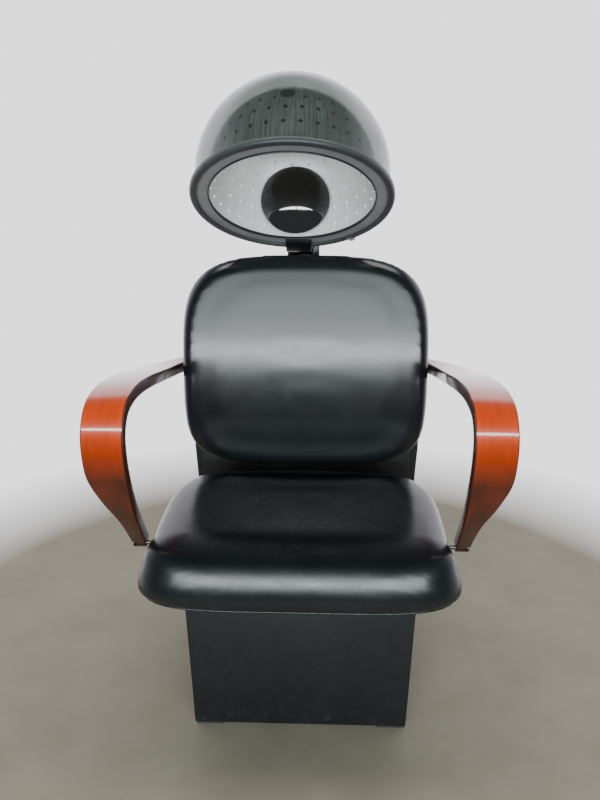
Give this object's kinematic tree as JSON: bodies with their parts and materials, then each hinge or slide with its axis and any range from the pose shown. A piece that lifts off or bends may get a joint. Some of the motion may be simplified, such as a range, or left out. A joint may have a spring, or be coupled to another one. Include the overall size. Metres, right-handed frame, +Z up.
{
  "type": "salon dryer chair",
  "caption": "Upholstered salon chair on a closed plinth with bentwood arms and a tilting, height-adjustable smoked hood dryer behind its back.",
  "frame": {"origin": "on the floor under the middle of the bounding box", "axes": "+Z up, -Y the way the sitter faces, +X to the right of someone facing the chair"},
  "size_m": [0.7304, 0.6881, 1.2618],
  "materials": {
    "base_laminate": "matte black laminate on particle board",
    "foot_rubber": "matte",
    "board_stained": "black stained plywood",
    "rail_timber": "raw",
    "seat_vinyl": "semi-gloss black vinyl",
    "back_vinyl": "semi-gloss black vinyl",
    "panel_vinyl": "semi-gloss black vinyl on board",
    "arm_lacquer": "high-gloss cherry lacquer",
    "bolt_chrome": "polished",
    "bracket_paint": "black powder coat",
    "column_chrome": "polished",
    "pin_steel": "zinc plated",
    "washer_rubber": "matte",
    "dome_aluminium": "spun, brushed",
    "dome_smoked": "smoked, clear and glossy",
    "ring_grey": "satin dark grey",
    "lip_black": "satin",
    "trim_black": "satin black",
    "clip_steel": "plated",
    "disc_black": "high-gloss black",
    "post_steel": "plated",
    "wheel_aluminium": "as cut",
    "motor_steel": "plated",
    "housing_black": "satin black",
    "heater_ceramic": "unglazed",
    "coil_wire": "oxidised resistance wire",
    "cutout_black": "matte",
    "knob_black": "satin",
    "lamp_amber": "clear amber"
  },
  "bodies": {
    "chair": {"base_front": "base_laminate", "base_rear": "base_laminate", "base_left": "base_laminate", "base_right": "base_laminate", "foot_front_left": "foot_rubber", "foot_front_right": "foot_rubber", "foot_rear_left": "foot_rubber", "foot_rear_right": "foot_rubber", "seat_board": "board_stained", "back_board": "board_stained", "seat_rail_left": "rail_timber", "seat_rail_right": "rail_timber", "seat_cushion": "seat_vinyl", "back_cushion": "back_vinyl", "back_panel": "panel_vinyl", "arm_left": "arm_lacquer", "arm_right": "arm_lacquer", "arm_bolt_left": "bolt_chrome", "arm_bolt_right": "bolt_chrome", "arm_bracket_left": "bracket_paint", "arm_bracket_right": "bracket_paint", "column_bracket": "bracket_paint", "column_sleeve": "bracket_paint", "control_plate": "bracket_paint", "timer_unit": "motor_steel", "control_box": "housing_black", "supply_gland": "housing_black", "heat_switch": "heater_ceramic", "pilot_lamp": "lamp_amber"},
    "column": {"column_tube": "column_chrome", "neck": "bracket_paint", "hinge_pin": "pin_steel", "tension_nut": "pin_steel", "friction_washer": "washer_rubber"},
    "hood": {"hood_bracket": "bracket_paint", "inner_dome": "dome_aluminium", "outer_dome": "dome_smoked", "plenum_ring": "ring_grey", "mouth_lip": "lip_black", "rim_trim": "trim_black", "trim_clip": "clip_steel", "dome_button": "washer_rubber", "inlet_disc": "disc_black", "inlet_post_1": "post_steel", "inlet_post_2": "post_steel", "inlet_post_3": "post_steel", "inlet_guard": "post_steel", "fan_motor": "motor_steel", "motor_mount": "washer_rubber", "blower_housing": "housing_black", "housing_cap": "housing_black", "heater_frame": "heater_ceramic", "heater_coil": "coil_wire", "thermal_cutout": "cutout_black"},
    "impeller": {"impeller": "wheel_aluminium"},
    "clamp_knob": {"clamp_knob": "knob_black"},
    "timer_knob": {"timer_knob": "knob_black"},
    "heat_knob": {"heat_knob": "knob_black"}
  },
  "joints": [
    {"name": "hood_height", "type": "slide", "parent": "chair", "child": "column", "axis": [0, 0, 1], "range_m": [0, 0.18]},
    {"name": "hood_tilt", "type": "hinge", "parent": "column", "child": "hood", "pos_m": [0, 0.272, 0.926], "axis": [1, 0, 0], "range_deg": [0, 22]},
    {"name": "impeller_spin", "type": "hinge", "parent": "hood", "child": "impeller", "pos_m": [-0.024, 0.07845, 1.06979], "axis": [0, 0.9219, -0.3875], "continuous": true},
    {"name": "clamp_turn", "type": "hinge", "parent": "chair", "child": "clamp_knob", "pos_m": [0, 0.272, 0.78], "axis": [-1, 0, 0], "range_deg": [0, 360]},
    {"name": "timer_turn", "type": "hinge", "parent": "chair", "child": "timer_knob", "pos_m": [0, 0.3358, 0.692], "axis": [0, -1, 0], "range_deg": [0, 300]},
    {"name": "heat_turn", "type": "hinge", "parent": "chair", "child": "heat_knob", "pos_m": [-0.022, 0.3358, 0.632], "axis": [0, -1, 0], "range_deg": [0, 180]}
  ]
}
